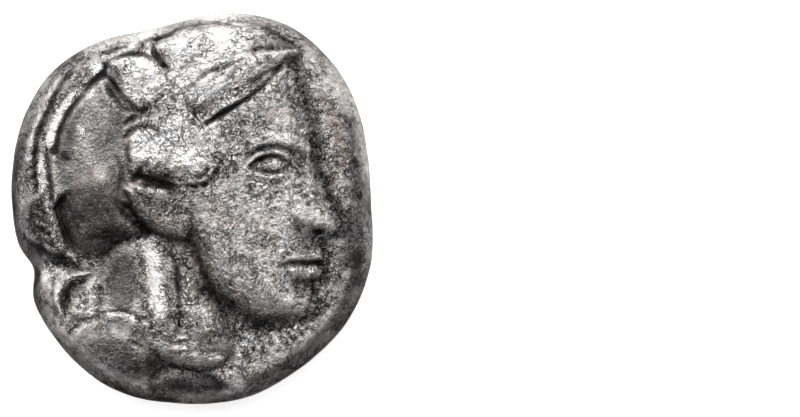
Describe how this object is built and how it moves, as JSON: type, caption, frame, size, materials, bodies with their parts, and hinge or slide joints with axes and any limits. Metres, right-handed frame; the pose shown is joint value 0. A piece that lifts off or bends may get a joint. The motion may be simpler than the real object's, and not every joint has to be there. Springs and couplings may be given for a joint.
{
  "type": "drachm",
  "caption": "Thick struck silver coin with an uneven rim: a helmeted head in profile on top, a standing owl below.",
  "frame": {"origin": "on the surface that the coin lies on, under the middle of its box", "axes": "+Z through the head side, away from the table; +X is where the head looks, +Y is towards its crown"},
  "size_m": [0.0142, 0.0152, 0.0033],
  "materials": {
    "silver": "worn silver, bright on the high points, dark grey tone in the hollows"
  },
  "bodies": {
    "root": {"drachm": "silver"}
  },
  "joints": []
}
